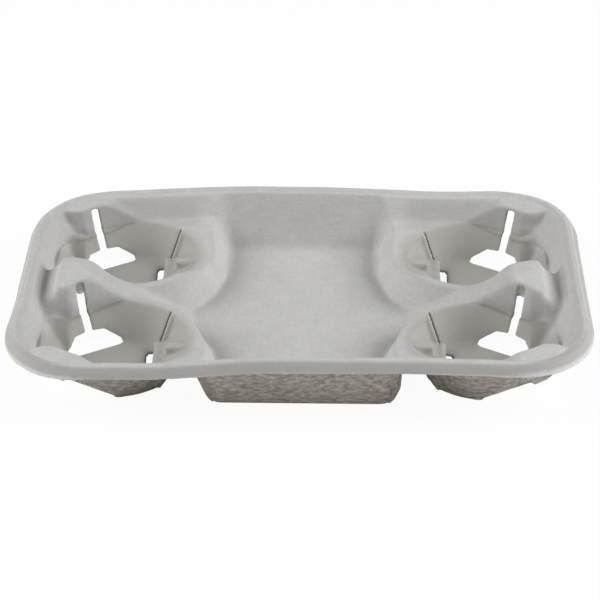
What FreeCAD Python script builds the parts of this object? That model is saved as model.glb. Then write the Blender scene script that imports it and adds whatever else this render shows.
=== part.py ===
import FreeCAD, Part
import math
import os
import Sketcher

# A moulded pulp carrier for four cups with a food tray in its middle.
# One shell of even thickness: an upper form, less a lower form made from the
# same cavities, each grown by the wall. Z = 0 is the underside of the pockets,
# the origin is the middle of the base, X runs along the length.

DIMENSIONS = [
    ("wall", 2.2, "thickness of the moulded wall"),
    ("rim_length", 411, "length over the edge of the skirt"),
    ("rim_width", 278, "width over the edge of the skirt"),
    ("rim_corner", 70, "corner radius at the edge of the skirt"),
    ("rim_height", 46, "height of the crest of the rim"),
    ("skirt_drop", 9, "height of the turned-down skirt"),
    ("skirt_draft", 24, "flare of the skirt, degrees from upright"),
    ("crest_round", 3.2, "rounding of the outer edge of the crest"),
    ("crest_band", 4.5, "width of the crest on top"),
    ("dish_depth", 2, "drop from the crest to the deck"),
    ("dish_draft", 30, "slope of the inner edge of the crest"),
    ("deck_ledge", 2, "width of the narrow ledge inside the crest"),
    ("bowl_draft", 22.3, "slope of the inner wall of the rim"),
    ("crest_level", 29, "height of the dividers, saddles and ledges"),
    ("trough_length", 244, "length of the dividers' level"),
    ("trough_width", 230, "width of the dividers' level"),
    ("trough_end_draft", 61.8, "slope from the saddle up to the mound"),
    ("trough_side_draft", 37.5, "slope of the wall above the ledge"),
    ("tray_floor", 4.2, "height of the food tray's floor, top face"),
    ("tray_length", 116, "length of the tray's floor along X"),
    ("tray_width", 222, "width of the tray's floor along Y"),
    ("tray_corner", 5.5, "corner radius of the tray's floor"),
    ("tray_draft", 22.8, "slope of the tray's walls"),
    ("tray_round", 7, "rounding between the tray's floor and walls"),
    ("tray_skin", 3, "extra thickness of the tray's end walls, where pulp gathers"),
    ("pocket_x", 129, "distance of a pocket's axis from the middle, along X"),
    ("pocket_y", 64, "distance of a pocket's axis from the middle, along Y"),
    ("cup_radius", 37, "radius of a pocket's floor"),
    ("cup_draft", 27.6, "slope of a pocket's lower wall"),
    ("cup_bevel", 2, "bevel between a pocket's floor and its wall"),
    ("collar_level", 22.5, "height of the crease between lower and upper wall"),
    ("collar_radius", 49.4, "radius of the upper wall at the crease"),
    ("collar_draft", 15.5, "slope of the upper wall"),
    ("crease_tilt", 14, "tilt of the crease where it climbs to the dividers"),
    ("ramp_width", 30, "width of the ramp's foot"),
    ("ramp_draft", 40, "slope of the ramp to the end of the rim"),
    ("ramp_side_draft", 39.5, "slope of the ramp's side walls"),
    ("channel_width", 71, "width of the upper channel at the crease"),
    ("channel_draft", 10, "slope of the upper channel's side walls"),
    ("tongue_nose", 25, "distance from a pocket's axis to the flap's lower edge"),
    ("tongue_level", 10, "height of the flap at its lower edge"),
    ("tongue_slope", 27.5, "slope of the flap, degrees from level"),
    ("rib_nose", 34.5, "distance from a pocket's axis to the rib's end"),
    ("rib_width", 9, "width of the rib on the flap"),
    ("rib_level", 21.5, "height of the rib's top"),
    ("dip_depth", 6, "drop of the divider between pocket and tray"),
    ("dip_width", 72, "width of that drop"),
    ("ridge_radius", 57, "outer radius of the ridge round a pocket"),
    ("ridge_draft", 25, "slope of the ridge's outer face"),
    ("ridge_blend", 30, "radius that leads the ridge into the tray's wall"),
    ("ridge_blend_shift", 8, "distance of that blend's axis past a pocket's axis"),
    ("gusset_foot", 78, "distance of the gusset's foot from the middle"),
    ("gusset_head", 119, "distance of the gusset's head from the middle"),
    ("valley_level", 27, "height of the valley behind a mound"),
    ("valley_rise", 4.5, "rise of its floor towards the mound"),
    ("valley_start", 180, "distance of the valley's foot from the middle"),
    ("valley_draft", 24, "slope of the mound's face above the valley"),
    ("slit_angle", 44, "angle of the narrow slits from the tray side"),
    ("slit_width", 1.2, "width of the narrow slits"),
    ("slit_start", 28, "distance from a pocket's axis to a narrow slit's foot"),
    ("slit_end", 56, "distance from a pocket's axis to a narrow slit's head"),
    ("slot_angle", 57.5, "angle of the wide slits from the outer side"),
    ("slot_width", 4.6, "width of the wide slits"),
    ("slot_start", 33, "distance from a pocket's axis to a wide slit's foot"),
    ("slot_end", 59, "distance from a pocket's axis to a wide slit's head"),
    ("slot_top", 41, "height of the wide slits' tops"),
    ("vent_angle", 57, "angle of the floor's cut edges from the outer side"),
    ("vent_start", 30, "distance from a pocket's axis to a cut edge"),
    ("vent_end", 52, "distance from a pocket's axis to the end of the cut"),
    ("vent_width", 43, "width of the opening at a cut edge"),
    ("vent_side", 4.2, "height of the openings beside the floor at their sides"),
    ("vent_top", 11.2, "height of the openings at the wide slit"),
    ("vent_top_width", 23, "width of the openings at that height"),
    ("front_vent_start", 20, "distance from a pocket's axis to the edge under the flap"),
    ("front_vent_end", 44, "distance from a pocket's axis to that opening's end"),
    ("front_vent_width", 46, "width of the opening under the flap"),
    ("front_vent_top", 8, "height of the opening under the flap"),
]

# Room that a cutting shape has beyond the faces that it cuts.
SPARE = 2.0
# What neighbouring hollows share, so that no thin skin is left between them.
OVERLAP = 0.4
# The crest's round edge is two bevels. Their shares of the rounding, down and inward.
CREST_MIDDLE_DROP = 0.3
CREST_MIDDLE_INSET = 0.2
CREST_TOP_INSET = 0.8

doc = FreeCAD.newDocument("cup_carrier")
sheet = doc.addObject("Spreadsheet::Sheet", "dims")
for row, (alias, value, note) in enumerate(DIMENSIONS, start=1):
    sheet.set("A%d" % row, note)
    sheet.set("B%d" % row, str(value))
    sheet.setAlias("B%d" % row, alias)
doc.recompute()


def size(alias):
    """The value of one driving dimension, for choices made in code."""
    return float(getattr(sheet, alias))


def bind(obj, **expressions):
    """Bind properties of an object to expressions over the sheet."""
    for name, expression in expressions.items():
        obj.setExpression(name.replace("__", "."), expression)


# Expressions shared by several shapes.
SKIRT_LEVEL = "(dims.rim_height - dims.skirt_drop)"
DECK_LEVEL = "(dims.rim_height - dims.dish_depth)"
ABOVE = "(dims.rim_height + %g)" % SPARE
CREST_INSET = "(dims.skirt_drop * tan(dims.skirt_draft))"
DISH_INSET = "(%s + dims.crest_band + dims.dish_depth * tan(dims.dish_draft))" % CREST_INSET
BOWL_INSET = "(%s + dims.deck_ledge)" % DISH_INSET


def rounded_rectangle(name, level, half_x, half_y, corner, centre_x="0", centre_y="0"):
    """A sketch of a rectangle with round corners, at a height, about a centre."""
    sketch = doc.addObject("Sketcher::SketchObject", name)
    a, b, r = 100.0, 80.0, 10.0
    vector = FreeCAD.Vector
    sides = [
        ((-a + r, -b), (a - r, -b)),
        ((a, -b + r), (a, b - r)),
        ((a - r, b), (-a + r, b)),
        ((-a, b - r), (-a, -b + r)),
    ]
    for start, end in sides:
        sketch.addGeometry(Part.LineSegment(vector(*start, 0), vector(*end, 0)))
    centres = [(a - r, -b + r, 270), (a - r, b - r, 0), (-a + r, b - r, 90), (-a + r, -b + r, 180)]
    for x, y, start in centres:
        circle = Part.Circle(vector(x, y, 0), vector(0, 0, 1), r)
        first = math.radians(start)
        sketch.addGeometry(Part.ArcOfCircle(circle, first, first + math.pi / 2))
    constraint = Sketcher.Constraint
    for side in range(4):
        arc = 4 + side
        sketch.addConstraint(constraint("Tangent", side, 2, arc, 1))
        sketch.addConstraint(constraint("Tangent", arc, 2, (side + 1) % 4, 1))
    for side, kind in enumerate(["Horizontal", "Vertical", "Horizontal", "Vertical"]):
        sketch.addConstraint(constraint(kind, side))
    for arc in (5, 6, 7):
        sketch.addConstraint(constraint("Equal", 4, arc))
    sketch.addConstraint(constraint("Symmetric", 4, 3, 6, 3, -1, 1))
    for label, rule in [
        ("half_x", constraint("DistanceX", -1, 1, 1, 1, a)),
        ("half_y", constraint("DistanceY", -1, 1, 2, 1, b)),
        ("corner", constraint("Radius", 4, r)),
    ]:
        index = sketch.addConstraint(rule)
        sketch.renameConstraint(index, label)
    sketch.setExpression("Constraints.half_x", half_x)
    sketch.setExpression("Constraints.half_y", half_y)
    sketch.setExpression("Constraints.corner", corner)
    bind(sketch, Placement__Base__x=centre_x, Placement__Base__y=centre_y,
         Placement__Base__z=level)
    return sketch


def rectangle(name, level, half_x, half_y, centre_x="0", centre_y="0", angle="0"):
    """A sketch of a plain rectangle at a height, turned about its centre."""
    sketch = doc.addObject("Sketcher::SketchObject", name)
    a, b = 100.0, 80.0
    vector = FreeCAD.Vector
    corners = [(-a, -b), (a, -b), (a, b), (-a, b)]
    for side in range(4):
        start, end = corners[side], corners[(side + 1) % 4]
        sketch.addGeometry(Part.LineSegment(vector(*start, 0), vector(*end, 0)))
    constraint = Sketcher.Constraint
    for side in range(4):
        sketch.addConstraint(constraint("Coincident", side, 2, (side + 1) % 4, 1))
    for side, kind in enumerate(["Horizontal", "Vertical", "Horizontal", "Vertical"]):
        sketch.addConstraint(constraint(kind, side))
    sketch.addConstraint(constraint("Symmetric", 0, 1, 2, 1, -1, 1))
    for label, kind, rule in (("half_x", "DistanceX", a), ("half_y", "DistanceY", b)):
        index = sketch.addConstraint(constraint(kind, -1, 1, 2, 1, rule))
        sketch.renameConstraint(index, label)
    sketch.setExpression("Constraints.half_x", half_x)
    sketch.setExpression("Constraints.half_y", half_y)
    sketch.Placement.Rotation = FreeCAD.Rotation(vector(0, 0, 1), 0)
    bind(sketch, Placement__Rotation__Angle=angle, Placement__Base__x=centre_x,
         Placement__Base__y=centre_y, Placement__Base__z=level)
    return sketch


def loft(name, sections):
    """A solid with straight sides through sketches at rising heights."""
    solid = doc.addObject("Part::Loft", name)
    solid.Sections = sections
    solid.Solid = True
    solid.Ruled = True
    return solid


def shifted(length, level, base_level, draft, grow):
    """A half size or radius at a level, for walls that lean out by a draft."""
    return "(%s + (%s - %s) * tan(%s) + %s / cos(%s))" % (
        length, level, base_level, draft, grow, draft)


def flared_block(name, low, high, ends, half_widths, centre_x="0", centre_y="0"):
    """A block whose four walls lean: at each height, its two ends in X and half its width."""
    block = doc.addObject("Part::Wedge", name)
    block.Placement.Rotation = FreeCAD.Rotation(FreeCAD.Vector(1, 0, 0), 90)
    (near_low, far_low), (near_high, far_high) = ends
    half_low, half_high = half_widths
    bind(block, Ymin=low, Ymax=high, Xmin=near_low, Xmax=far_low, X2min=near_high,
         X2max=far_high, Zmin="-" + half_low, Zmax=half_low, Z2min="-" + half_high,
         Z2max=half_high, Placement__Base__x=centre_x, Placement__Base__y=centre_y)
    return block


def drafted_cavity(name, low, high, half_x, half_y, draft_x, draft_y, grow,
                   centre_x="0", centre_y="0"):
    """A square-cornered cavity with a flat floor and leaning walls, grown by the wall."""
    floor = "(%s - %s)" % (low, grow)
    ends = []
    widths = []
    for level in (floor, high):
        reach = shifted(half_x, level, low, draft_x, grow)
        ends.append(("-" + reach, reach))
        widths.append(shifted(half_y, level, low, draft_y, grow))
    return flared_block(name, floor, high, ends, widths, centre_x, centre_y)


def tray_cavity(form, grow):
    """The food tray's cavity, its floor led into the walls by a round foot."""
    floor = "(dims.tray_floor - %s)" % grow
    radius = "(dims.tray_round + %s)" % grow
    half_length = "dims.tray_length / 2"
    if form == "lower":
        half_length += " + dims.tray_skin"
    half_turn = "(45 - dims.tray_draft / 2)"
    run = "(%s * tan(%s))" % (radius, half_turn)
    # Each step is a height over the floor and an inset from the straight wall.
    middle = "(%s * (1 - cos(%s)))" % (radius, half_turn)
    steps = [
        ("low", "0", run),
        ("foot", middle, "(%s + %s * tan(dims.tray_draft) - %s * sin(%s))" % (
            run, middle, radius, half_turn)),
        ("wall", "(%s * (1 - sin(dims.tray_draft)))" % radius, "0"),
        ("high", "(%s - %s)" % (ABOVE, floor), "0"),
    ]
    outlines = []
    for end, rise, inset in steps:
        level = "(%s + %s)" % (floor, rise)
        outlines.append(rounded_rectangle("%s_tray_%s" % (form, end), level, *[
            "%s - %s" % (shifted(half, level, "dims.tray_floor", "dims.tray_draft", grow), inset)
            for half in (half_length, "dims.tray_width / 2", "dims.tray_corner")]))
    return loft(form + "_tray", outlines)


def inset_outline(name, level, inset):
    """The rim's outline at a height, a distance inside the skirt's edge."""
    return rounded_rectangle(
        name, level, "dims.rim_length / 2 - %s" % inset,
        "dims.rim_width / 2 - %s" % inset, "dims.rim_corner - %s" % inset)


def rim_hollow(name, low, inset, draft, grow):
    """A hollow inside the rim, its wall leaning out from an inset at the deck."""
    outlines = []
    for end, level in (("low", low), ("high", ABOVE)):
        at_level = "(%s + (%s - %s) * tan(%s) - %s / cos(%s))" % (
            inset, DECK_LEVEL, level, draft, grow, draft)
        outlines.append(inset_outline("%s_%s" % (name, end), level, at_level))
    return loft(name, outlines)


def profile_prism(name, points, half_width):
    """A prism across Y with a straight-sided profile in X and Z."""
    sketch = doc.addObject("Sketcher::SketchObject", name + "_profile")
    vector = FreeCAD.Vector
    constraint = Sketcher.Constraint
    count = len(points)
    guess = [(10.0 + 20 * index, 5.0 * index * (count - index)) for index in range(count)]
    for index in range(count):
        start = guess[index]
        end = guess[(index + 1) % count]
        sketch.addGeometry(Part.LineSegment(vector(*start, 0), vector(*end, 0)))
    for index in range(count):
        sketch.addConstraint(constraint("Coincident", index, 2, (index + 1) % count, 1))
    for index, (x, z) in enumerate(points):
        for axis, kind, value in ((0, "DistanceX", x), (1, "DistanceY", z)):
            rule = constraint(kind, -1, 1, index, 1, guess[index][axis])
            label = "p%d_%s" % (index, "xz"[axis])
            sketch.renameConstraint(sketch.addConstraint(rule), label)
            sketch.setExpression("Constraints." + label, value)
    sketch.Placement = FreeCAD.Placement(vector(0, 0, 0), FreeCAD.Rotation(vector(1, 0, 0), 90))
    prism = doc.addObject("Part::Extrusion", name)
    prism.Base = sketch
    prism.DirMode = "Custom"
    prism.Dir = vector(0, 1, 0)
    prism.Solid = True
    prism.Symmetric = False
    bind(prism, LengthFwd=half_width, LengthRev=half_width)
    return prism


def cone(name, low, high, radius_low, draft, x="0", y="0", inward=False):
    """An upright cone whose wall leans out, or in, from its lower end."""
    solid = doc.addObject("Part::Cone", name)
    sign = "-" if inward else "+"
    bind(solid, Radius1=radius_low, Height="%s - %s" % (high, low),
         Radius2="%s %s (%s - %s) * tan(%s)" % (radius_low, sign, high, low, draft),
         Placement__Base__x=x, Placement__Base__y=y, Placement__Base__z=low)
    return solid


def joined(name, shapes):
    """Several shapes made one."""
    solid = doc.addObject("Part::MultiFuse", name)
    solid.Shapes = shapes
    solid.Refine = True
    return solid


def cut(name, base, tool):
    """A shape less another."""
    solid = doc.addObject("Part::Cut", name)
    solid.Base = base
    solid.Tool = tool
    solid.Refine = True
    return solid


def common(name, first, second):
    """What two shapes share."""
    solid = doc.addObject("Part::Common", name)
    solid.Base = first
    solid.Tool = second
    solid.Refine = True
    return solid


def mirrored(source, across):
    """A shape's mirror image across the plane X = 0 or Y = 0."""
    image = doc.addObject("Part::Mirroring", "%s_%s" % (source.Name, across))
    image.Source = source
    image.Normal = FreeCAD.Vector(1, 0, 0) if across == "left" else FreeCAD.Vector(0, 1, 0)
    return image


def bevel_low_edges(name, base, level, radius):
    """Bevel the edges of a cavity that lie in its floor."""
    doc.recompute()
    edges = [
        (index, radius, radius)
        for index, edge in enumerate(base.Shape.Edges, start=1)
        if abs(edge.BoundBox.ZMin - level) < 1e-4 and abs(edge.BoundBox.ZMax - level) < 1e-4
    ]
    bevelled = doc.addObject("Part::Chamfer", name)
    bevelled.Base = base
    bevelled.Edges = edges
    return bevelled


def flap(form, grow, x, y):
    """What a pocket's flap keeps solid: a sloping tongue with a rib down its middle."""
    back = "(%s - 2 * dims.tongue_nose - %g)" % (x, 4 * SPARE)
    low = "-%g" % SPARE
    nose = "(%s - dims.tongue_nose - %s)" % (x, grow)
    slope = "(dims.tongue_level + (%s - dims.tongue_nose - %%s) * tan(dims.tongue_slope)" % x
    slope += " - %s / cos(dims.tongue_slope))" % grow
    tongue = profile_prism(form + "_tongue", [
        (back, low), (nose, low), (nose, slope % nose), (back, slope % back)],
        "dims.rim_width / 2")
    span = doc.addObject("Part::Box", form + "_tongue_span")
    bind(span, Length="%s - %s" % (nose, back), Width="dims.front_vent_width - 2 * %s" % grow,
         Height="dims.crest_level + %g" % SPARE, Placement__Base__x=back,
         Placement__Base__y="%s - dims.front_vent_width / 2 + %s" % (y, grow),
         Placement__Base__z=low)
    tongue = common(form + "_tongue_cut", tongue, span)
    rib = doc.addObject("Part::Box", form + "_rib")
    bind(rib, Length="%s - dims.rib_nose - %s - %s" % (x, grow, back),
         Width="dims.rib_width - 2 * %s" % grow,
         Height="dims.rib_level - %s + %g" % (grow, SPARE),
         Placement__Base__x=back,
         Placement__Base__y="%s - dims.rib_width / 2 + %s" % (y, grow),
         Placement__Base__z=low)
    return joined(form + "_flap", [tongue, rib])


def pocket(form, grow):
    """The cavity of the pocket in the +X +Y quarter, grown by the wall."""
    x, y = "dims.pocket_x", "dims.pocket_y"
    floor = "(dims.wall - %s)" % grow
    bowl = cone(form + "_cup", floor, "(dims.crest_level + %g)" % OVERLAP,
                shifted("dims.cup_radius", floor, "dims.wall", "dims.cup_draft", grow),
                "dims.cup_draft", x, y)
    if form == "upper":
        bowl = bevel_low_edges(form + "_cup_bevel", bowl, size("wall"), size("cup_bevel"))
    bowl = cut(form + "_cup_flap", bowl, flap(form, grow, x, y))

    # The upper wall stands back from the lower one above a crease.
    collar = cone(form + "_collar_cone", "(dims.collar_level - %s)" % grow, ABOVE,
                  shifted("dims.collar_radius", "(dims.collar_level - %s)" % grow,
                          "dims.collar_level", "dims.collar_draft", grow),
                  "dims.collar_draft", x, y)
    half_span = "dims.trough_length / 3"
    tilt = doc.addObject("Part::Box", form + "_crease")
    tilt.Placement.Rotation = FreeCAD.Rotation(FreeCAD.Vector(0, 1, 0), size("crease_tilt"))
    bind(tilt, Length="2 * " + half_span, Width="2 * " + half_span, Height=half_span,
         Placement__Base__x="dims.trough_length / 2 - %s * cos(dims.crease_tilt)" % half_span,
         Placement__Base__y="%s - %s" % (y, half_span),
         Placement__Base__z="dims.crest_level + %s * sin(dims.crease_tilt) - %s" % (
             half_span, grow))
    collar = common(form + "_collar", collar, tilt)

    # The ramp and the channel run out to the end of the rim.
    ramp_top = "(dims.collar_level + %g - %s)" % (OVERLAP, grow)
    ends = []
    widths = []
    for level in (floor, ramp_top):
        ends.append(("0", shifted("dims.cup_radius", level, "dims.wall", "dims.ramp_draft", grow)))
        widths.append(shifted(
            "dims.ramp_width / 2", level, "dims.wall", "dims.ramp_side_draft", grow))
    ramp = flared_block(form + "_ramp", floor, ramp_top, ends, widths, x, y)
    channel = drafted_cavity(form + "_channel", "dims.collar_level", ABOVE,
                             "dims.channel_width / 2", "dims.channel_width / 2", "0",
                             "dims.channel_draft", grow,
                             centre_x="%s + dims.channel_width / 2" % x, centre_y=y)
    return joined(form + "_pocket", [bowl, collar, ramp, channel])


def gusset(form, grow):
    """The sloping floor between the two pockets on the +X side."""
    rise = "(dims.crest_level - dims.tray_floor)"
    run = "(dims.gusset_head - dims.gusset_foot)"
    # A level's drop that moves the slope square to itself by the wall.
    drop = "(%s * sqrt(1 + pow(%s / %s; 2)))" % (grow, rise, run)
    floor = "(dims.tray_floor - %s)" % grow
    top = "(dims.crest_level + %g)" % OVERLAP
    foot = "(dims.gusset_foot + (%s - %s) * %s / %s)" % (drop, grow, run, rise)
    head = "(dims.gusset_head + (%g + %s) * %s / %s)" % (OVERLAP, drop, run, rise)
    reach = "(dims.pocket_y + dims.ridge_blend_shift)"
    inner = "dims.tray_length / 3"
    wedge = profile_prism(form + "_wedge", [
        (inner, floor), (foot, floor), (head, top), (inner, top)], reach)
    tray_wall = "(dims.tray_length / 2 + %s * tan(dims.tray_draft))" % rise
    axes = [
        ("ridge", "dims.pocket_x", "dims.pocket_y", "dims.ridge_radius", "dims.ridge_draft"),
        ("blend", "(%s + dims.ridge_blend - %g)" % (tray_wall, OVERLAP), reach,
         "dims.ridge_blend", "dims.tray_draft"),
    ]
    ridges = []
    for kind, x, y, radius, draft in axes:
        base = "(dims.tray_floor - dims.wall - %g)" % SPARE
        wide = "(%s + (dims.crest_level - %s) * tan(%s) - %s / cos(%s))" % (
            radius, base, draft, grow, draft)
        for side, sign in (("back", ""), ("front", "-")):
            ridges.append(cone("%s_%s_%s" % (form, kind, side), base,
                               "(dims.crest_level + %g)" % SPARE, wide, draft, x, sign + y,
                               inward=True))
    return cut(form + "_gusset", wedge, joined(form + "_ridges", ridges))


def valley(form, grow):
    """The trench between a mound and the end of the rim on the +X side."""
    foot = "(dims.valley_level - %s)" % grow
    floor = "(%s + dims.valley_rise)" % foot
    start = "(dims.valley_start + %s * tan(dims.valley_draft) - %s / cos(dims.valley_draft))" % (
        grow, grow)
    head = "(%s - (%s - %s) * tan(dims.valley_draft))" % (start, ABOVE, floor)
    return profile_prism(form + "_valley", [
        (start, floor), ("dims.rim_length / 2 - dims.rim_height / 3", foot),
        ("dims.rim_length / 2", foot), ("dims.rim_length / 2", ABOVE), (head, ABOVE)],
        "(dims.pocket_y - dims.channel_width / 2 + %g)" % (3 * SPARE))


def dip(form, grow):
    """The low middle of the divider between a pocket and the tray."""
    radius = "((pow(dims.dip_width / 2; 2) + pow(dims.dip_depth; 2)) / (2 * dims.dip_depth))"
    start = "dims.tray_length / 2"
    length = "dims.pocket_x - dims.tongue_nose - dims.tray_length / 2"
    roller = doc.addObject("Part::Cylinder", form + "_dip")
    roller.Placement.Rotation = FreeCAD.Rotation(FreeCAD.Vector(0, 1, 0), 90)
    bind(roller, Radius="%s + %s" % (radius, grow), Height=length,
         Placement__Base__x=start, Placement__Base__y="dims.pocket_y",
         Placement__Base__z="dims.crest_level - dims.dip_depth + %s" % radius)
    span = doc.addObject("Part::Box", form + "_dip_span")
    bind(span, Length=length, Width="dims.dip_width + %g" % (2 * SPARE),
         Height="dims.dip_depth + dims.wall + %g" % (2 * SPARE),
         Placement__Base__x=start,
         Placement__Base__y="dims.pocket_y - dims.dip_width / 2 - %g" % SPARE,
         Placement__Base__z="dims.crest_level - dims.dip_depth - dims.wall - %g" % SPARE)
    return common(form + "_dip_cut", roller, span)


def cavities(form, grow):
    """Everything that is hollowed out of one form."""
    dish = rim_hollow(form + "_dish", "(%s - %s)" % (DECK_LEVEL, grow), DISH_INSET,
                      "dims.dish_draft", grow)
    bowl = rim_hollow(form + "_bowl", "-%g" % SPARE, BOWL_INSET, "dims.bowl_draft", grow)
    trough = drafted_cavity(form + "_trough", "dims.crest_level", ABOVE,
                            "dims.trough_length / 2", "dims.trough_width / 2",
                            "dims.trough_end_draft", "dims.trough_side_draft", grow)
    tray = tray_cavity(form, grow)
    # The hollows that the rim's inner wall limits, on the +X side.
    right_pocket = pocket(form, grow)
    right = joined(form + "_right", [
        right_pocket, mirrored(right_pocket, "front"), valley(form, grow)])
    right = common(form + "_right_hollows", right, bowl)
    right_dip = dip(form, grow)
    right = joined(form + "_right_side", [
        right, gusset(form, grow), right_dip, mirrored(right_dip, "front")])
    return joined(form + "_cavities", [dish, trough, tray, right, mirrored(right, "left")])


# The upper form: a block under the rim with every cavity taken out of it.
upper_block = loft("upper_block", [
    inset_outline("upper_foot", "-%g" % OVERLAP, "0"),
    inset_outline("upper_skirt", SKIRT_LEVEL, "0"),
    inset_outline("upper_flare", "dims.rim_height - dims.crest_round",
                  "(dims.skirt_drop - dims.crest_round) * tan(dims.skirt_draft)"),
    inset_outline("upper_round", "dims.rim_height - %g * dims.crest_round" % CREST_MIDDLE_DROP,
                  "(%s + %g * dims.crest_round)" % (CREST_INSET, CREST_MIDDLE_INSET)),
    inset_outline("upper_crest", "dims.rim_height",
                  "(%s + %g * dims.crest_round)" % (CREST_INSET, CREST_TOP_INSET))])
upper = cut("upper_form", upper_block, cavities("upper", "0"))

# The lower form: wider than the block below the skirt, a wall inside it above.
lower_base = loft("lower_base", [
    inset_outline("lower_foot", "-%g" % SPARE, "(-2 * dims.wall)"),
    inset_outline("lower_brim", SKIRT_LEVEL, "(-2 * dims.wall)")])
INNER_SKIRT = "((%s - %s) * tan(dims.skirt_draft) + dims.wall / cos(dims.skirt_draft))"
inner_low = "(%s - %g)" % (SKIRT_LEVEL, SPARE)
inner_high = "(dims.rim_height - dims.wall)"
lower_crest = loft("lower_crest", [
    inset_outline("lower_inner", inner_low, INNER_SKIRT % (inner_low, SKIRT_LEVEL)),
    inset_outline("lower_top", inner_high, INNER_SKIRT % (inner_high, SKIRT_LEVEL))])
lower_block = joined("lower_block", [lower_base, lower_crest])
lower = cut("lower_form", lower_block, cavities("lower", "dims.wall"))

shell = cut("shell", upper, lower)


def radial_box(name, angle, start, end, width, low, high):
    """A box that points out from a pocket's axis, angle from the tray side."""
    box = doc.addObject("Part::Box", name)
    box.Placement.Rotation = FreeCAD.Rotation(FreeCAD.Vector(0, 0, 1), 0)
    bind(box, Length="%s - %s" % (end, start), Width=width, Height="%s - %s" % (high, low),
         Placement__Rotation__Angle=angle,
         Placement__Base__x="dims.pocket_x + %s * cos(%s) + %s / 2 * sin(%s)" % (
             start, angle, width, angle),
         Placement__Base__y="dims.pocket_y + %s * sin(%s) - %s / 2 * cos(%s)" % (
             start, angle, width, angle),
         Placement__Base__z=low)
    return box


def vent(name, angle):
    """The opening past a cut edge of the floor, highest at the wide slit."""
    middle = "(dims.vent_start + dims.vent_end) / 2"
    outlines = []
    for end, level, width in (("foot", "-%g" % SPARE, "dims.vent_width"),
                              ("side", "dims.vent_side", "dims.vent_width"),
                              ("top", "dims.vent_top", "dims.vent_top_width")):
        outlines.append(rectangle(
            "%s_%s" % (name, end), level, "(dims.vent_end - dims.vent_start) / 2",
            "%s / 2" % width, "dims.pocket_x + %s * cos(%s)" % (middle, angle),
            "dims.pocket_y + %s * sin(%s)" % (middle, angle), angle))
    return loft(name, outlines)


cutters = []
for side, sign in (("back", 1), ("front", -1)):
    cutters += [
        radial_box("slit_" + side, "(180 - %d * dims.slit_angle)" % sign, "dims.slit_start",
                   "dims.slit_end", "dims.slit_width", "dims.wall",
                   "(dims.crest_level - dims.wall / 2)"),
        radial_box("slot_" + side, "(%d * dims.slot_angle)" % sign, "dims.slot_start",
                   "dims.slot_end", "dims.slot_width", "(dims.vent_top - dims.wall)",
                   "dims.slot_top"),
        vent("vent_" + side, "(%d * dims.vent_angle)" % sign),
    ]
cutters.append(radial_box("vent_tray", "180", "dims.front_vent_start", "dims.front_vent_end",
                          "dims.front_vent_width", "-%g" % SPARE, "dims.front_vent_top"))
cut_back = joined("cuts_back", cutters)
cut_front = mirrored(cut_back, "front")
cut_right = joined("cuts_right", [cut_back, cut_front])
openings = joined("cuts_all", [cut_right, mirrored(cut_right, "left")])
carrier = cut("carrier", shell, openings)
carrier.Label = "carrier"
doc.recompute()

for item in doc.Objects:
    if "Invalid" in item.State or "Error" in item.State:
        raise RuntimeError("%s did not build: %s" % (item.Name, item.State))
shape = carrier.Shape
if shape.isNull() or not shape.isValid() or len(shape.Solids) != 1:
    raise RuntimeError("the carrier is not one valid solid")

os.makedirs("parts", exist_ok=True)
shape.exportStep("parts/carrier.step")
print("carrier: %.1f cubic centimetres, %d faces, box %s" % (
    shape.Volume / 1000, len(shape.Faces), shape.BoundBox))
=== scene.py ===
import math

import bpy
import numpy as np
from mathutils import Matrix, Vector
from mathutils.bvhtree import BVHTree


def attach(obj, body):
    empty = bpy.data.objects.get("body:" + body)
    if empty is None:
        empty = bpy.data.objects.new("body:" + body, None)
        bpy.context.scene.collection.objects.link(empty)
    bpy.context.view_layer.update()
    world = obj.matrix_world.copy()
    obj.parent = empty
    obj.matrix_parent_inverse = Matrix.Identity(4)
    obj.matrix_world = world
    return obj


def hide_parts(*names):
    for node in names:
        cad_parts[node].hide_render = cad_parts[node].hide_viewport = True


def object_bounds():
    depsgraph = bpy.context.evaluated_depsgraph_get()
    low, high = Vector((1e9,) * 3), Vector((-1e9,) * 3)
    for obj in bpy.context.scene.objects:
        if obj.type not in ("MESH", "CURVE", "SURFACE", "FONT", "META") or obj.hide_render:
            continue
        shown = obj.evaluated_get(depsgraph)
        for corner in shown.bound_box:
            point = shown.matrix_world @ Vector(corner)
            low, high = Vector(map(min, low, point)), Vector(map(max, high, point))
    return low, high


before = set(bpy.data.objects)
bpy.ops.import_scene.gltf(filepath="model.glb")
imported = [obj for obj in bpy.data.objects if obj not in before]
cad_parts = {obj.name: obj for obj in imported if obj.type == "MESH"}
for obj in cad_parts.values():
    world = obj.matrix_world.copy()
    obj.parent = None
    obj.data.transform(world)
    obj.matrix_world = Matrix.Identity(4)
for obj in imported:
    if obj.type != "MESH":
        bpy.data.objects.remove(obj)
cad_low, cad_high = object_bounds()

# Lengths are in metres. A pair of lengths is where a change starts and where it is whole.
# A place in a pocket is given for the quarter where X and Y are above zero, and is
# mirrored to the other three.

# The rim's outline comes from the frame.
RIM_HALF_X = round(float(cad_high[0]), 4)
RIM_HALF_Y = round(float(cad_high[1]), 4)
RIM_LEVEL = round(float(cad_high[2]), 4)
RIM_CORNER = 0.070
RIM_BAND = (0.011, 0.017)
SKIRT_LEVEL = 0.037
# The warp and the wave leave the feet flat.
ABOVE_FEET = (0.004, 0.040)

# The dividers between the pockets and the tray, and the tray itself.
CREST_LEVEL = 0.029
TRAY_LEVEL = 0.0042
TRAY_HALF_X = 0.058
TRAY_HALF_Y = 0.111
TRAY_SLOPE = math.tan(math.radians(22.8))

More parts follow.
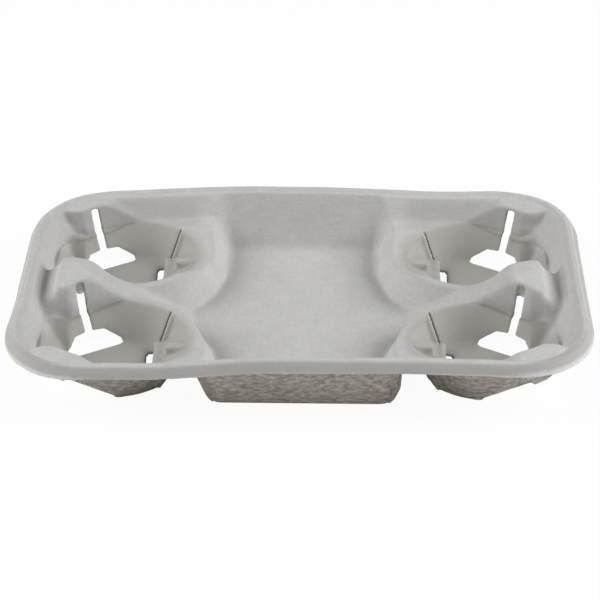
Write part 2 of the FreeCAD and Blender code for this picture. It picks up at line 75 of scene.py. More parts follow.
# A pocket's axis, and the crease round it, which climbs to the dividers.
POCKET_X = 0.129
POCKET_Y = 0.064
CREASE_LEVEL = 0.0225
CREASE_HEAD_X = 0.122
CREASE_SLOPE = math.tan(math.radians(14))
CREASE_START = (-0.006, 0.002)
CREASE_END = (0.0268, 0.0285)

# The cuts of a pocket: each one's direction from the axis, counted from the outer side,
# half its width and its two ends.
SLIT_ANGLE = math.radians(180 - 44)
SLIT_HALF = 0.0006
SLIT_REACH = (0.028, 0.056)
SLOT_ANGLE = math.radians(57.5)
SLOT_HALF = 0.0023
SLOT_REACH = (0.033, 0.059)
SLOT_TOP = 0.041
VENT_ANGLE = math.radians(57)
# The narrow slits are held this wide while the shell is remade, and closed after.
HELD_HALF = 0.0014
# The wide slits gape to this half width in the end.
GAPE_HALF = 0.0031

VOXEL = 0.0008
TRIANGLES = 190000

# The floor looks white; this share of its look is its own, the rest shows shadow.
FLOOR_GLOW = 0.95
FLOOR_WHITE = 0.95
FLOOR_REACH = 6
SKY_LIGHT = 0.08
# Each lamp's name, place, size and power in watts: a square softbox on each side and a
# weak card in front.
LAMPS = (
    ("softbox_left", (-2.0, -0.2, 1.3), 1.5, 49),
    ("softbox_right", (2.0, -0.2, 1.3), 1.5, 57),
    ("card_front", (0.0, -2.2, 0.30), 1.0, 4),
)

# The camera of the photo, found from its outlines.
CAMERA_PLACE = (0.0241, -1.6268, 0.911)
CAMERA_AIM = (0, 0, 0.046)
CAMERA_LENS = 153.0
CAMERA_SENSOR = 36
CAMERA_SHIFT = (-0.001, -0.047)


# Working with meshes and random values.

def ramp(value, low, high):
    """0 below low, 1 above high, smooth between them."""
    part = np.clip((value - low) / (high - low), 0.0, 1.0)
    return part * part * (3 - 2 * part)


def lattice_noise(points, cell, seed):
    """Smooth random values from -1 to 1 over points, with features of a cell's size."""
    scaled = points / cell
    base = np.floor(scaled).astype(np.int64)
    part = scaled - base
    part = part * part * (3 - 2 * part)
    total = np.zeros(len(points))
    for corner in range(8):
        offset = np.array([corner & 1, corner >> 1 & 1, corner >> 2 & 1])
        index = base + offset
        mixed = (index[:, 0] * 73856093) ^ (index[:, 1] * 19349663) ^ (index[:, 2] * 83492791)
        mixed = (mixed ^ (seed * 2654435761)) & 0xFFFFFFFF
        mixed = ((mixed ^ (mixed >> 15)) * 2246822519) & 0xFFFFFFFF
        mixed = ((mixed ^ (mixed >> 13)) * 3266489917) & 0xFFFFFFFF
        value = (mixed ^ (mixed >> 16)) / float(0xFFFFFFFF) * 2 - 1
        weight = np.prod(np.where(offset == 1, part, 1 - part), axis=1)
        total += value * weight
    return total


def read_points(mesh):
    """A mesh's vertices as an array."""
    points = np.empty(len(mesh.vertices) * 3, np.float32)
    mesh.vertices.foreach_get("co", points)
    return points.reshape(-1, 3).astype(np.float64)


def read_normals(mesh):
    """The normals of a mesh's vertices as an array."""
    normals = np.empty(len(mesh.vertices) * 3, np.float32)
    mesh.vertices.foreach_get("normal", normals)
    return normals.reshape(-1, 3)


def write_points(mesh, points):
    """Put an array back as a mesh's vertices."""
    mesh.vertices.foreach_set("co", points.astype(np.float32).ravel())
    mesh.update()


def with_modifier(obj, kind, **settings):
    """The object's mesh as one modifier leaves it."""
    modifier = obj.modifiers.new(kind.lower(), kind)
    for name, value in settings.items():
        setattr(modifier, name, value)
    bpy.context.view_layer.update()
    seen = obj.evaluated_get(bpy.context.evaluated_depsgraph_get())
    mesh = bpy.data.meshes.new_from_object(seen)
    obj.modifiers.clear()
    obj.data = mesh
    return mesh


def neighbours(mesh):
    """The two ends of every edge, and how many edges meet at every vertex."""
    edges = np.empty(len(mesh.edges) * 2, np.int32)
    mesh.edges.foreach_get("vertices", edges)
    first, second = edges.reshape(-1, 2).T
    count = len(mesh.vertices)
    meeting = np.bincount(first, minlength=count) + np.bincount(second, minlength=count)
    return first, second, np.maximum(meeting, 1)


def neighbour_mean(values, links):
    """The mean of the values at each vertex's neighbours."""
    first, second, meeting = links
    count = len(meeting)
    total = np.bincount(first, values[second], count)
    total = total + np.bincount(second, values[first], count)
    return total / meeting


def softened(mesh, points, weight, rounds, factor=0.5):
    """Points moved towards the mean of their neighbours, by each point's weight.

    A point on a cut's side wall moves only within that wall.
    """
    walls = [(side_on, ray_normal(points, angle)) for angle, side_on in cut_walls(points)]
    links = neighbours(mesh)
    step = (weight * factor)[:, None]
    for _ in range(rounds):
        mean = np.empty_like(points)
        for axis in range(3):
            mean[:, axis] = neighbour_mean(points[:, axis], links)
        move = step * (mean - points)
        for side_on, normal in walls:
            across = np.sum(move * normal, axis=1) * side_on
            move -= normal * across[:, None]
        points = points + move
    return points


# Finding places on the carrier.

def pocket_frame(points):
    """Each point's place from its pocket's axis: outward, away from the middle, radius."""
    outward = np.abs(points[:, 0]) - POCKET_X
    along = np.abs(points[:, 1]) - POCKET_Y
    return outward, along, np.hypot(outward, along)


def ray_place(points, angle):
    """How far out and how far beside a line from its own pocket's axis each point is."""
    outward, along, radius = pocket_frame(points)
    run = outward * math.cos(angle) + np.abs(along) * math.sin(angle)
    off = -outward * math.sin(angle) + np.abs(along) * math.cos(angle)
    return run, off


def ray_normal(points, angle):
    """The level direction square to that line, in each of the eight places it has."""
    outward, along, radius = pocket_frame(points)
    normal = np.zeros_like(points)
    normal[:, 0] = -math.sin(angle) * np.sign(points[:, 0])
    normal[:, 1] = math.cos(angle) * np.sign(along) * np.sign(points[:, 1])
    return normal


def near_ray(points, angle, ends, reach):
    """1 on a line that points out from a pocket's axis, 0 beyond a reach from it."""
    whole_share = 0.4
    run, off = ray_place(points, angle)
    past = np.maximum(np.maximum(ends[0] - run, run - ends[1]), 0.0)
    return 1 - ramp(np.hypot(off, past), whole_share * reach, reach)


def cut_walls(points, reach=0.0008):
    """For each kind of slit, its angle and which points lie on its side walls."""
    found = []
    for angle, half, ends, top in ((SLIT_ANGLE, HELD_HALF, SLIT_REACH, CREST_LEVEL),
                                   (SLOT_ANGLE, SLOT_HALF, SLOT_REACH, SLOT_TOP)):
        run, off = ray_place(points, angle)
        between = (run > ends[0]) & (run < ends[1]) & (points[:, 2] < top)
        found.append((angle, between & (np.abs(np.abs(off) - half) < reach)))
    return found


def rim_depth(points):
    """How far inside the skirt's edge each point is, with the rim's round corners."""
    inside_x = RIM_HALF_X - np.abs(points[:, 0])
    inside_y = RIM_HALF_Y - np.abs(points[:, 1])
    in_corner = (inside_x < RIM_CORNER) & (inside_y < RIM_CORNER)
    from_round = RIM_CORNER - np.hypot(RIM_CORNER - inside_x, RIM_CORNER - inside_y)
    return np.where(in_corner, from_round, np.minimum(inside_x, inside_y))


def crease_level(points):
    """The height of the crease round a pocket."""
    climb = CREST_LEVEL - (np.abs(points[:, 0]) - CREASE_HEAD_X) * CREASE_SLOPE
    return np.clip(climb, CREASE_LEVEL, CREST_LEVEL)


def crease_line(points, above, spread, ring):
    """1 a little above the crease round a pocket, 0 where it runs into the dividers."""
    outward, along, radius = pocket_frame(points)
    line = np.exp(-((points[:, 2] - crease_level(points) - above) / spread) ** 2)
    line *= (radius > ring[0]) & (radius < ring[1])
    return line * ramp(outward, *CREASE_START) * (1 - ramp(points[:, 2], *CREASE_END))


def cut_edges(points):
    """How firmly each point is held at the cuts and creases, up to 1; 0 elsewhere."""
    outward, along, radius = pocket_frame(points)
    level = points[:, 2]

    slit_hold = 0.8
    slit_top = 0.031
    slit = near_ray(points, SLIT_ANGLE, (0.026, 0.058), 0.0050) * (level < slit_top)
    slot_hold = 0.6
    slot = near_ray(points, SLOT_ANGLE, (0.031, 0.061), 0.0070)
    keep = np.maximum(slit_hold * slit, slot_hold * slot)

    vent_hold = 0.96
    vent_start = (0.0270, 0.0285)
    vent_end = 0.0535
    vent_top = (0.0120, 0.0145)
    run, off = ray_place(points, VENT_ANGLE)
    vent = ramp(run, *vent_start) * (run < vent_end) * (1 - ramp(level, *vent_top))
    keep = np.maximum(keep, vent_hold * vent)

    # The opening under the flap, and the flap's own lower half.
    flap_span = (-0.047, -0.0175)
    flap_half = 0.026
    tray_side = (outward < flap_span[1]) & (outward > flap_span[0]) & (np.abs(along) < flap_half)
    for hold, top in ((0.85, 0.0115), (0.5, 0.0235)):
        keep = np.maximum(keep, hold * (tray_side & (level < top)))

    crease_hold = 0.9
    crease_ring = (0.045, 0.056)
    crease_from = -0.012
    crease_fade = (0.0010, 0.0030)
    away = np.abs(level - crease_level(points))
    band = (radius > crease_ring[0]) & (radius < crease_ring[1]) & (outward > crease_from)
    return np.maximum(keep, crease_hold * band * (1 - ramp(away, *crease_fade)))


def warp_rise(points):
    """How far each long side is bent up or down, the carrier in hand not being true."""
    x = points[:, 0]
    y = points[:, 1]
    end_drop = -0.0016
    front = end_drop + 0.0059 * ramp(x, -0.11, -0.01) - 0.0012 * ramp(x, 0.07, 0.16)
    back = end_drop + 0.0044 * ramp(x, -0.16, -0.03) - 0.0033 * ramp(x, 0.0, 0.11)
    to_side = (0.0, 0.11)
    bent = front * ramp(-y, *to_side) + back * ramp(y, *to_side)
    return bent * ramp(points[:, 2], *ABOVE_FEET)


# Cutting and softening the shell.

def with_held_slits(points):
    """The construction's narrow slits, held open."""
    same_place = 0.0001
    margin = 0.001
    run, off = ray_place(points, SLIT_ANGLE)
    wall = np.abs(np.abs(off) - SLIT_HALF) < same_place
    wall &= (run > SLIT_REACH[0] - margin) & (run < SLIT_REACH[1] + margin)
    shift = np.sign(off) * (HELD_HALF - SLIT_HALF) * wall
    return points + ray_normal(points, SLIT_ANGLE) * shift[:, None]


def with_true_cuts(points):
    """Points beside a slit put exactly in its side walls."""
    near = 0.0005
    for (angle, side_on), half in zip(cut_walls(points, near), (HELD_HALF, SLOT_HALF)):
        run, off = ray_place(points, angle)
        shift = (np.sign(off) * half - off) * side_on
        points = points + ray_normal(points, angle) * shift[:, None]
    return points


def with_slit_width(points, angle, old_half, new_half, span, share):
    """A slit's side walls moved to a new half width, fading out at the span beside it."""
    run, off = ray_place(points, angle)
    size = np.abs(off)
    inside = size * new_half / old_half
    beyond = new_half + (size - old_half) * (span - new_half) / (span - old_half)
    moved = np.where(size < old_half, inside, np.where(size < span, beyond, size))
    shift = np.sign(off) * (moved - size) * share
    return points + ray_normal(points, angle) * shift[:, None]


def with_shut_slits(points):
    """The narrow slits spring shut again."""
    span = 0.006
    foot = (0.022, 0.027)
    head = (0.057, 0.062)
    top = 0.0305
    run, off = ray_place(points, SLIT_ANGLE)
    share = ramp(run, *foot) * (1 - ramp(run, *head)) * (points[:, 2] < top)
    return with_slit_width(points, SLIT_ANGLE, HELD_HALF, SLIT_HALF, span, share)


def with_gaping_slots(points):
    """The wide slits gape."""
    span = 0.0085
    foot = (0.027, 0.033)
    head = (0.061, 0.066)
    bottom = 0.004
    run, off = ray_place(points, SLOT_ANGLE)
    share = ramp(run, *foot) * (1 - ramp(run, *head)) * (points[:, 2] > bottom)
    return with_slit_width(points, SLOT_ANGLE, SLOT_HALF, GAPE_HALF, span, share)


def felted(mesh, points, rim):
    """The machined form softened to moulded pulp, most at the mounds and saddles."""
    everywhere = np.ones(len(points))
    loose = 1 - cut_edges(points)
    points = softened(mesh, points, loose * (1 - rim), 15)
    between_pockets = 1 - ramp(np.abs(points[:, 1]), 0.030, 0.042)
    rounded = between_pockets * ramp(np.abs(points[:, 0]), 0.118, 0.135)
    points = softened(mesh, points, rounded * loose * (1 - rim), 45)
    rim_hold = 0.7
    points = softened(mesh, points, loose * (1 - rim_hold * rim), 3)
    return softened(mesh, points, everywhere, 1)


# The forms that the pulp takes.

def with_grooves(points):
    """A thin groove follows the crease round each pocket, and stops at the wide slits."""
    outward_depth = 0.0005
    drop = 0.0004
    typical_radius = 0.05
    beside_slot = (0.003, 0.007)
    outward, along, radius = pocket_frame(points)
    run, off = ray_place(points, SLOT_ANGLE)
    groove = crease_line(points, 0.0004, 0.0007, (0.045, 0.056))
    groove *= ramp(np.abs(off), *beside_slot)
    moved = points.copy()
    moved[:, 0] += outward_depth * groove * outward / typical_radius * np.sign(points[:, 0])
    moved[:, 1] += outward_depth * groove * along / typical_radius * np.sign(points[:, 1])
    moved[:, 2] -= drop * groove
    return moved


def with_flap_panels(points):
    """Each flap has a hollow panel on both sides of its rib."""
    push = 0.0016
    drop = 0.0012
    beside_slit = (0.0022, 0.0040)
    beside_rib = (0.0030, 0.0045)
    past_nose = (0.027, 0.030)
    wall_end = (0.0475, 0.0510)
    top = 0.030
    outward, along, radius = pocket_frame(points)
    run, off = ray_place(points, SLIT_ANGLE)
    panel = ramp(off, *beside_slit) * ramp(np.abs(along), *beside_rib)
    panel *= ramp(-outward, *past_nose) * (1 - ramp(radius, *wall_end))
    panel *= points[:, 2] < top
    moved = points.copy()
    moved[:, 0] -= push * panel * np.sign(points[:, 0])
    moved[:, 2] -= drop * panel
    return moved


def with_full_mounds(points):
    """The mounds stand full between the pockets of each end."""
    rise = 0.0045
    side = (0.006, 0.038)
    inner_foot = (0.135, 0.156)
    outer_foot = (0.168, 0.188)
    height = (0.028, 0.042)
    distance = np.abs(points[:, 0])
    mound = (1 - ramp(np.abs(points[:, 1]), *side)) * ramp(distance, *inner_foot)
    mound *= (1 - ramp(distance, *outer_foot)) * ramp(points[:, 2], *height)
    moved = points.copy()
    moved[:, 2] += rise * mound
    return moved


def with_shallow_valleys(mesh, points):
    """The valleys behind the mounds are shallow troughs with soft ends."""
    rise = 0.0055
    side = (0.018, 0.036)
    inner_end = (0.170, 0.180)
    outer_end = (0.190, 0.200)
    height = (0.032, 0.042)
    across = np.abs(points[:, 1])
    distance = np.abs(points[:, 0])
    trough = (1 - ramp(across, *side)) * ramp(distance, *inner_end)
    trough *= (1 - ramp(distance, *outer_end)) * (1 - ramp(points[:, 2], *height))
    moved = points.copy()
    moved[:, 2] += rise * trough
    soft = ramp(distance, 0.166, 0.174) * (1 - ramp(distance, 0.192, 0.200))
    soft *= 1 - ramp(across, 0.050, 0.062)
    return softened(mesh, moved, soft, 30)


def with_high_corners(points):
    """Beyond the cut edges of the floor, the outer corners of the pockets lie higher."""
    rise = 0.0048
    past_vent = (0.044, 0.056)
    height = (0.024, 0.036)
    to_end = (0.0, 0.020)
    outward, along, radius = pocket_frame(points)
    run, off = ray_place(points, VENT_ANGLE)
    corner = ramp(run, *past_vent) * (along > 0) * (1 - ramp(points[:, 2], *height))
    moved = points.copy()
    moved[:, 2] += rise * corner * ramp(outward, *to_end)
    return moved


def with_swollen_tray(points):
    """The outer face of the tray's walls swells a little below the front."""
    swell_x = 0.0038
    swell_y = 0.0012
    swell_down = 0.0014
    outer_face = (0.0006, 0.0014)
    beyond_wall = (0.0045, 0.0070)
    height = (0.012, 0.027)
    front = (0.05, 0.10)
    reach = 0.080
    right_end = (0.03, 0.06)
    bottom = (0.003, 0.010)
    half_x = TRAY_HALF_X + (points[:, 2] - TRAY_LEVEL) * TRAY_SLOPE
    half_y = TRAY_HALF_Y + (points[:, 2] - TRAY_LEVEL) * TRAY_SLOPE
    past_wall = np.maximum(np.abs(points[:, 0]) - half_x, np.abs(points[:, 1]) - half_y)
    past_wall = np.maximum(past_wall, TRAY_LEVEL - points[:, 2])
    outer = ramp(past_wall, *outer_face) * (1 - ramp(past_wall, *beyond_wall))
    low = 1 - ramp(points[:, 2], *height)
    outer *= low * ramp(-points[:, 1], *front) * (np.abs(points[:, 0]) < reach)
    moved = points.copy()
    moved[:, 0] += swell_x * outer * ramp(points[:, 0], *right_end)
    moved[:, 1] -= swell_y * outer
    moved[:, 2] -= swell_down * outer * (1 - ramp(points[:, 2], *bottom))
    return moved


def with_crest_ridge(points, depth):
    """A low ridge follows the outer edge of the crest."""
    rise = 0.0009
    ridge_depth = 0.0046
    spread = 0.0011
    below_rim = 0.004
    ridge = np.exp(-((depth - ridge_depth) / spread) ** 2)
    ridge *= points[:, 2] > RIM_LEVEL - below_rim
    moved = points.copy()
    moved[:, 2] += rise * ridge
    return moved


def with_worn_rim(points, depth, rim):
    """The skirt flares at the right, three corners stand out and the left is drawn in."""
    flare_out = 0.0008
    skirt_band = (0.001, 0.004)
    skirt = rim * (1 - ramp(depth, *skirt_band)) * (points[:, 2] < RIM_LEVEL - 0.001)
    moved = points.copy()
    skirt *= ramp(points[:, 0], 0.17, 0.20) * ramp(points[:, 1], -0.09, -0.05)
    moved[:, 0] += flare_out * skirt

    # How far both front corners and the right back one move outward in X and Y, and up.
    front_out = (0.0030, 0.0032, -0.0020)
    back_out = (0.0026, 0.0028, 0.0010)
    corner_end = (0.125, 0.180)
    corner_side = (0.055, 0.115)
    at_end = rim * ramp(np.abs(moved[:, 0]), *corner_end)
    front = at_end * ramp(-moved[:, 1], *corner_side)
    back = at_end * ramp(moved[:, 1], *corner_side) * (moved[:, 0] > 0)
    moved[:, 0] += (front_out[0] * front + back_out[0] * back) * np.sign(moved[:, 0])
    moved[:, 1] += back_out[1] * back - front_out[1] * front
    moved[:, 2] += back_out[2] * back + front_out[2] * front

    draw = 0.0018
    drawn_in = rim * ramp(-moved[:, 0], 0.170, 0.195) * ramp(moved[:, 1], -0.075, -0.030)
    moved[:, 0] += draw * drawn_in
    return moved


def with_uneven_edges(points, lift, rim):
    """The whole shell waves a little, and the skirt's cut edge is ragged."""
    wave_height = 0.00035
    ragged_height = 0.00022
    edge_band = (SKIRT_LEVEL + 0.0006, SKIRT_LEVEL + 0.003)
    moved = points.copy()
    moved[:, 2] += wave_height * lattice_noise(points, 0.035, 3) * lift
    ragged = lattice_noise(moved, 0.0035, 5) + 0.5 * lattice_noise(moved, 0.0016, 6)
    moved[:, 2] += ragged_height * ragged * (1 - ramp(moved[:, 2], *edge_band)) * rim
    return moved


def seen_from_below(mesh, points, normals):
    """1 on the shell's lower face, 0 on its upper one: what has the shell above is below."""
    off_face = 0.0003
    search = 0.06
    level_normal = 0.75
    mesh.calc_loop_triangles()
    corners = np.empty(len(mesh.loop_triangles) * 3, np.int32)
    mesh.loop_triangles.foreach_get("vertices", corners)
    shell = BVHTree.FromPolygons(points.tolist(), corners.reshape(-1, 3).tolist())
    up = Vector((0, 0, 1))
    under = np.zeros(len(points))
    starts = points + normals * off_face
    for index in range(len(points)):
        if normals[index, 2] < level_normal:
            hit = shell.ray_cast(Vector(starts[index]), up, search)
            under[index] = 1.0 if hit[0] is not None else 0.0
    links = neighbours(mesh)
    for _ in range(2):
        under = 0.5 * under + 0.5 * neighbour_mean(under, links)
    return under


def with_lumps(points, normals, under):
    """The face that lay against no screen is lumpy, apart from the feet, which lie flat."""
    height = 0.00028
    foot = (0.0, 0.0015)
    lumps = 0.6 * lattice_noise(points, 0.0055, 11) + 0.4 * lattice_noise(points, 0.0026, 12)
    share = height * lumps * under * ramp(points[:, 2], *foot)
    moved = points + normals * share[:, None]
    moved[:, 2] = np.maximum(moved[:, 2], 0.0)
    return moved


def surface_masks(points):
    """What the material needs to know: painted shade in the wells, along the creases and on the
    skirt, and the skirt's lighter edge.
    """
    straight = points.copy()
    straight[:, 2] -= warp_rise(points)
    outward, along, radius = pocket_frame(straight)
    level = straight[:, 2]

    # Painted shade: the pockets are painted darker, as less light reaches them, and the ledge
    # behind them in a lesser share.
    painted_well_shade = (1 - ramp(radius, 0.050, 0.060)) * (1 - ramp(level, 0.024, 0.034))
    behind_share = 0.75
    behind = ramp(np.abs(points[:, 0]), 0.074, 0.086) * ramp(points[:, 1], 0.098, 0.106)
    painted_well_shade = np.maximum(painted_well_shade, behind_share * behind * (1 - ramp(level, 0.040, 0.045)))

    # Painted shade: a dark line along the crease round each pocket, where shade falls at its step.
    painted_crease_shade = crease_line(straight, -0.0002, 0.0009, (0.044, 0.057))

    depth = rim_depth(points)
    above_bottom = level > SKIRT_LEVEL - 0.003
    # The skirt's lower edge is made lighter.
    skirt_edge = 1 - ramp(level, SKIRT_LEVEL + 0.0003, SKIRT_LEVEL + 0.0016)
    skirt_edge *= above_bottom & (depth < 0.003)
    # Painted shade: the skirt's outer band is painted darker.
    skirt = (1 - ramp(depth, 0.0036, 0.0050)) * (1 - ramp(level, 0.0438, 0.0452))
    skirt *= above_bottom * (1 - skirt_edge)
    return (("painted_well_shade", painted_well_shade), ("painted_crease_shade", painted_crease_shade), ("skirt", skirt), ("skirt_edge", skirt_edge))


# The pulp's colours: the screen's side, its dark specks, the painted shade of its wells, creases
# and skirt, its lighter skirt edge, and the felted side.
SCREEN_DARK = (0.480, 0.474, 0.461)
SCREEN_LIGHT = (0.560, 0.555, 0.545)
SPECK_COLOUR = (0.16, 0.13, 0.11)
# Painted shade: the wells, the creases and the skirt are darkened towards these colours.
WELL_SHADE_COLOUR = (0.350, 0.332, 0.306)
CREASE_SHADE_COLOUR = (0.20, 0.185, 0.165)
SKIRT_SHADE_COLOUR = (0.340, 0.328, 0.310)
# The skirt's lower edge is lightened towards this colour.
SKIRT_EDGE_COLOUR = (0.74, 0.73, 0.71)
FELT_DARK = (0.30, 0.274, 0.235)
FELT_LIGHT = (0.58, 0.550, 0.500)
WEAVE_PITCH = 0.0011


def pulp():
    """Moulded pulp: a screen's imprint and fibres on top, rough and browner below."""
    material = bpy.data.materials.new("pulp")
    material.use_nodes = True
    nodes = material.node_tree.nodes
    links = material.node_tree.links
    shader = nodes["Principled BSDF"]
    shader.inputs["Roughness"].default_value = 0.93
    shader.inputs["Specular IOR Level"].default_value = 0.22
    place = nodes.new("ShaderNodeTexCoord")

    def noise(scale, detail, rough=0.5, turn=None, stretch=None):
        """Noise over the object, turned and stretched where that is given."""
        node = nodes.new("ShaderNodeTexNoise")
        node.inputs["Scale"].default_value = scale
        node.inputs["Detail"].default_value = detail
        node.inputs["Roughness"].default_value = rough
        source = place.outputs["Object"]
        if stretch:
            mapping = nodes.new("ShaderNodeMapping")
            mapping.inputs["Rotation"].default_value = turn
            mapping.inputs["Scale"].default_value = stretch
            links.new(source, mapping.inputs["Vector"])
            source = mapping.outputs["Vector"]
        links.new(source, node.inputs["Vector"])
        return node.outputs["Fac"]

    def maths(kind, first, second=None):
        """One sum of sockets or numbers."""
        node = nodes.new("ShaderNodeMath")
        node.operation = kind
        for index, value in enumerate((first, second)):
            if value is None:
                continue
            if isinstance(value, (int, float)):
                node.inputs[index].default_value = value
            else:
                links.new(value, node.inputs[index])
        return node.outputs[0]

    def span(value, low, high):
        """0 at low, 1 at high."""
        node = nodes.new("ShaderNodeMapRange")
        node.inputs["From Min"].default_value = low
        node.inputs["From Max"].default_value = high
        links.new(value, node.inputs["Value"])
        return node.outputs["Result"]

    def mixed(part, first, second):
        """From the first colour to the second by a part."""
        node = nodes.new("ShaderNodeMix")
        node.data_type = "RGBA"
        links.new(part, node.inputs["Factor"])
        for index, value in ((6, first), (7, second)):
            if isinstance(value, tuple):
                node.inputs[index].default_value = (*value, 1)
            else:
                links.new(value, node.inputs[index])
        return node.outputs[2]

    def painted(name):
        """One of the surface's own values."""
        node = nodes.new("ShaderNodeAttribute")
        node.attribute_name = name
        return node.outputs["Fac"]

    def bump(height, strength, distance, under_it=None):
        """A normal from a height, over another normal where that is given."""
        node = nodes.new("ShaderNodeBump")
        node.inputs["Strength"].default_value = strength
        node.inputs["Distance"].default_value = distance
        links.new(height, node.inputs["Height"])
        if under_it:
            links.new(under_it, node.inputs["Normal"])
        return node.outputs["Normal"]

    # The side that lay on the screen: clouded grey with fibres.
    below = painted("under")
    fine = noise(scale=900, detail=3, rough=0.6)
    broad = noise(scale=70, detail=4, rough=0.6)
    fibres = noise(scale=420, detail=2, rough=0.6, turn=(0.3, 0.2, 0.5), stretch=(0.25, 1.6, 1.0))
    cross = noise(scale=420, detail=2, rough=0.6, turn=(0.1, 0.4, -0.7), stretch=(1.6, 0.3, 1.0))
    tone = maths("ADD", maths("MULTIPLY", fine, 0.5), maths("MULTIPLY", broad, 0.5))
    tone = maths("ADD", maths("MULTIPLY", tone, 0.6),
                 maths("MULTIPLY", maths("MULTIPLY", fibres, cross), 0.8))
    top = mixed(span(tone, 0.36, 0.64), SCREEN_DARK, SCREEN_LIGHT)

    # A few dark specks, then painted shade in the wells, along the creases and on the skirt, and a
    # lighter skirt edge.
    cells_to_a_metre = 55
    speck_size = 0.028
    speck_rarity = 0.93
    cells = nodes.new("ShaderNodeTexVoronoi")
    cells.inputs["Scale"].default_value = cells_to_a_metre
    links.new(place.outputs["Object"], cells.inputs["Vector"])
    chosen = nodes.new("ShaderNodeSeparateColor")
    links.new(cells.outputs["Color"], chosen.inputs["Color"])
    speck = maths("MULTIPLY", maths("LESS_THAN", cells.outputs["Distance"], speck_size),
                  maths("GREATER_THAN", chosen.outputs["Red"], speck_rarity))
    top = mixed(maths("MULTIPLY", speck, 0.55), top, SPECK_COLOUR)
    for name, share, colour in (("painted_well_shade", 0.62, WELL_SHADE_COLOUR), ("painted_crease_shade", 0.45, CREASE_SHADE_COLOUR),
                                ("skirt", 0.62, SKIRT_SHADE_COLOUR), ("skirt_edge", 0.45, SKIRT_EDGE_COLOUR)):
        top = mixed(maths("MULTIPLY", painted(name), share), top, colour)

    # The side that was felted, rough and pitted.
    pits = noise(scale=330, detail=5, rough=0.7, turn=(0.2, 0.3, 0.4), stretch=(0.6, 1.2, 1.4))
    rough = mixed(span(pits, 0.40, 0.62), FELT_DARK, FELT_LIGHT)
    links.new(mixed(below, top, rough), shader.inputs["Base Color"])

    # The screen's imprint is a fine square weave.
    spread = nodes.new("ShaderNodeSeparateXYZ")
    links.new(place.outputs["Object"], spread.inputs["Vector"])
    stripes = [maths("SINE", maths("MULTIPLY", spread.outputs[axis], 2 * math.pi / WEAVE_PITCH))
               for axis in ("X", "Y")]
    weave = maths("ADD", *stripes)
    height = maths("ADD", maths("MULTIPLY", weave, 0.07), maths("MULTIPLY", fine, 0.9))
    height = maths("ADD", height, maths("MULTIPLY", fibres, 0.5))
    screened = bump(height, strength=0.55, distance=0.00025)
    pitted = bump(maths("MULTIPLY", pits, below), strength=0.9, distance=0.0012, under_it=screened)
    links.new(pitted, shader.inputs["Normal"])
    return material


def direct_ray(tree):
    """A socket that is 1 for what the camera sees, also in a mirror or through glass."""
    path = tree.nodes.new("ShaderNodeLightPath")
    total = path.outputs["Is Camera Ray"]
    for name in ("Is Glossy Ray", "Is Transmission Ray"):
        either = tree.nodes.new("ShaderNodeMath")
        either.operation = "MAXIMUM"
        tree.links.new(total, either.inputs[0])
        tree.links.new(path.outputs[name], either.inputs[1])
        total = either.outputs[0]
    return total


def floor_paper():
    """White paper that mostly looks its own white and still shows shadow."""
    material = bpy.data.materials.new("floor")
    material.use_nodes = True
    nodes = material.node_tree.nodes
    links = material.node_tree.links
    paper = nodes["Principled BSDF"]
    paper.inputs["Base Color"].default_value = (FLOOR_WHITE, FLOOR_WHITE, FLOOR_WHITE, 1)
    paper.inputs["Roughness"].default_value = 1.0
    paper.inputs["Specular IOR Level"].default_value = 0.0
    glow = nodes.new("ShaderNodeEmission")
    glow.inputs["Strength"].default_value = 1.0
    blend = nodes.new("ShaderNodeMixShader")
    share = nodes.new("ShaderNodeMath")
    share.operation = "MULTIPLY"
    share.inputs[1].default_value = FLOOR_GLOW
    links.new(direct_ray(material.node_tree), share.inputs[0])
    links.new(share.outputs[0], blend.inputs["Fac"])
    links.new(paper.outputs["BSDF"], blend.inputs[1])
    links.new(glow.outputs["Emission"], blend.inputs[2])
    links.new(blend.outputs["Shader"], nodes["Material Output"].inputs["Surface"])
    return material


def make_floor():
    """A plain level floor under the feet."""
    corners = [(-FLOOR_REACH, -FLOOR_REACH, 0), (FLOOR_REACH, -FLOOR_REACH, 0),
               (FLOOR_REACH, FLOOR_REACH, 0), (-FLOOR_REACH, FLOOR_REACH, 0)]
    mesh = bpy.data.meshes.new("floor")
    mesh.from_pydata(corners, [], [(0, 1, 2, 3)])
    mesh.materials.append(floor_paper())
    floor = bpy.data.objects.new("floor", mesh)
    bpy.context.scene.collection.objects.link(floor)
    return floor


def make_lamp(name, place, size, power):
    """A square lamp that faces the carrier."""
    data = bpy.data.lights.new(name, "AREA")
    data.shape = "SQUARE"
    data.size = size
    data.energy = power
    lamp = bpy.data.objects.new(name, data)
    lamp.location = place
    lamp.rotation_euler = (-lamp.location).to_track_quat("-Z", "Y").to_euler()
    bpy.context.scene.collection.objects.link(lamp)
    return lamp


def make_world():
    """A dim even sky that looks white where it is seen."""
    world = bpy.data.worlds.new("studio")
    world.use_nodes = True
    tree = world.node_tree
    background = tree.nodes["Background"]
    background.inputs["Color"].default_value = (1, 1, 1, 1)
    strength = tree.nodes.new("ShaderNodeMapRange")
    strength.inputs["To Min"].default_value = SKY_LIGHT
    strength.inputs["To Max"].default_value = 1.0
    tree.links.new(direct_ray(tree), strength.inputs["Value"])
    tree.links.new(strength.outputs["Result"], background.inputs["Strength"])
    return world


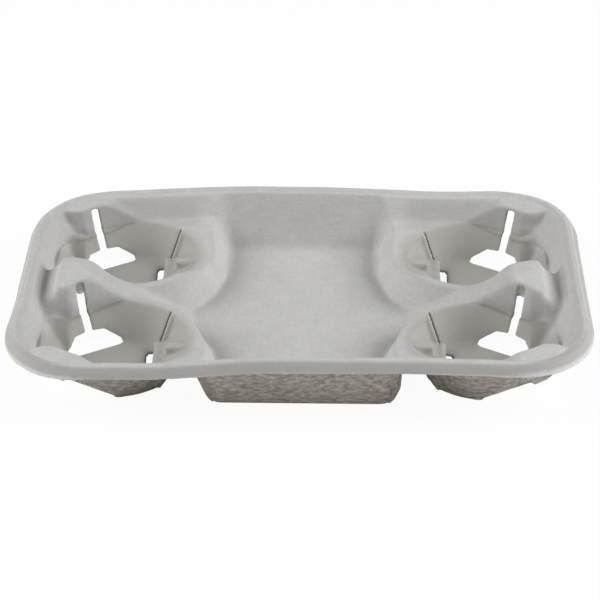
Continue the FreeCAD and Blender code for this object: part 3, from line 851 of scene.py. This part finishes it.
def make_camera():
    """The camera where the photo was taken from."""
    data = bpy.data.cameras.new("camera")
    data.lens = CAMERA_LENS
    data.sensor_width = CAMERA_SENSOR
    data.shift_x, data.shift_y = CAMERA_SHIFT
    camera = bpy.data.objects.new("camera", data)
    camera.location = CAMERA_PLACE
    aim = Vector(CAMERA_AIM) - camera.location
    camera.rotation_euler = aim.to_track_quat("-Z", "Y").to_euler()
    bpy.context.scene.collection.objects.link(camera)
    return camera


# The visible shell starts from the construction's own solid.
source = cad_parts["carrier"]
carrier = bpy.data.objects.new("cup_carrier", source.data.copy())
carrier.data.materials.clear()
bpy.context.scene.collection.objects.link(carrier)
write_points(carrier.data, with_held_slits(read_points(carrier.data)))
mesh = with_modifier(carrier, "REMESH", mode="VOXEL", voxel_size=VOXEL, adaptivity=0.0,
                     use_smooth_shade=True)
points = with_true_cuts(read_points(mesh))
points = with_true_cuts(softened(mesh, points, np.ones(len(points)), 2))

# The rim is 1 in the band along the skirt's edge.
depth = rim_depth(points)
rim = 1 - ramp(depth, *RIM_BAND)
points = felted(mesh, points, rim)
points = with_grooves(points)
points = with_shut_slits(points)
points = with_gaping_slots(points)
points = with_flap_panels(points)
points = with_full_mounds(points)
points = with_shallow_valleys(mesh, points)
points = with_high_corners(points)
points = with_swollen_tray(points)
points = with_crest_ridge(points, depth)
lift = ramp(points[:, 2], *ABOVE_FEET)
points[:, 2] += warp_rise(points)
points = with_worn_rim(points, depth, rim)
points = with_uneven_edges(points, lift, rim)
write_points(mesh, points)

ratio = TRIANGLES / (2.0 * len(mesh.polygons))
mesh = with_modifier(carrier, "DECIMATE", ratio=min(1.0, ratio), use_collapse_triangulate=True)
for polygon in mesh.polygons:
    polygon.use_smooth = True
points = read_points(mesh)
normals = read_normals(mesh)
under = seen_from_below(mesh, points, normals)
points = with_lumps(points, normals, under)
write_points(mesh, points)
for name, values in (("under", under), *surface_masks(points)):
    attribute = mesh.attributes.new(name, "FLOAT", "POINT")
    attribute.data.foreach_set("value", values.astype(np.float32))
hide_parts("carrier")
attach(carrier, "root")
carrier.data.materials.append(pulp())

floor = make_floor()
lamps = [make_lamp(*lamp) for lamp in LAMPS]

scene = bpy.context.scene
scene.world = make_world()
scene.view_settings.view_transform = "Standard"
scene.camera = make_camera()
